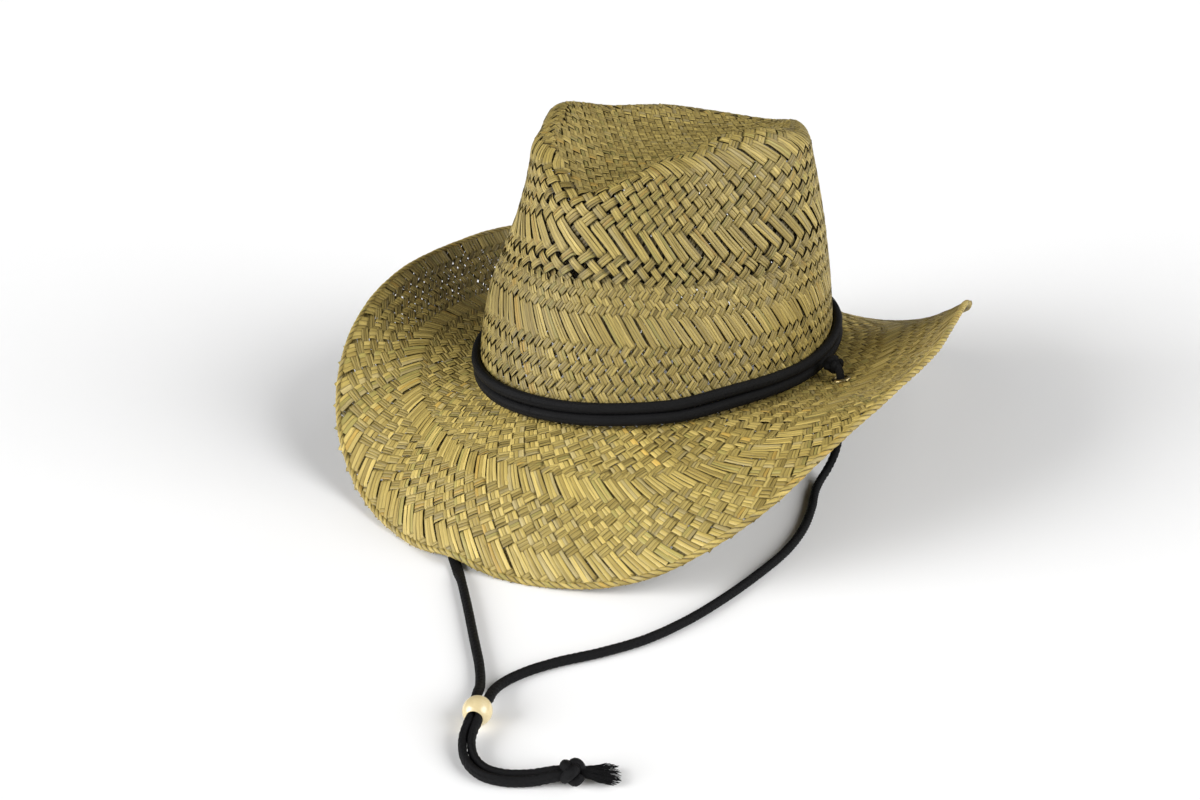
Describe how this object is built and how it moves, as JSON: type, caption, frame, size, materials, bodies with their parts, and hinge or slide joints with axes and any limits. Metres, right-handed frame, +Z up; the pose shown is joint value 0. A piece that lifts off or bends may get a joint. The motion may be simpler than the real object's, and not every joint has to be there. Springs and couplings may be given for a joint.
{
  "type": "woven straw western hat with cord band and chin cord",
  "caption": "Hollow woven straw hat with a pinched, creased crown, a brim curled up at the sides, a black cord band, and a beaded chin cord laid on the surface.",
  "frame": {"origin": "middle of the hat's own box without the chin cord, on the surface that the hat rests on", "axes": "+Z up, -Y to the front of the hat, +X to the wearer's left"},
  "size_m": [0.294, 0.439, 0.166],
  "materials": {
    "straw": "woven flat rush strands, satin, pale yellow straw with tan and a few greenish and orange strands",
    "cord": "fine braided black cord, matt",
    "eyelet": "rolled brass, worn satin",
    "bead": "pale turned wood, clear gloss"
  },
  "bodies": {
    "root": {"crown": "straw", "brim": "straw", "brim_edge": "straw", "band_cord_lower": "cord", "band_cord_upper": "cord", "side_knot_left": "cord", "side_knot_right": "cord", "eyelet_left": "eyelet", "eyelet_right": "eyelet", "chin_cord_left": "cord", "chin_cord_right": "cord", "cord_bead": "bead", "bead_core": "cord", "tail_cord": "cord", "end_knot": "cord", "tassel": "cord"}
  },
  "joints": []
}
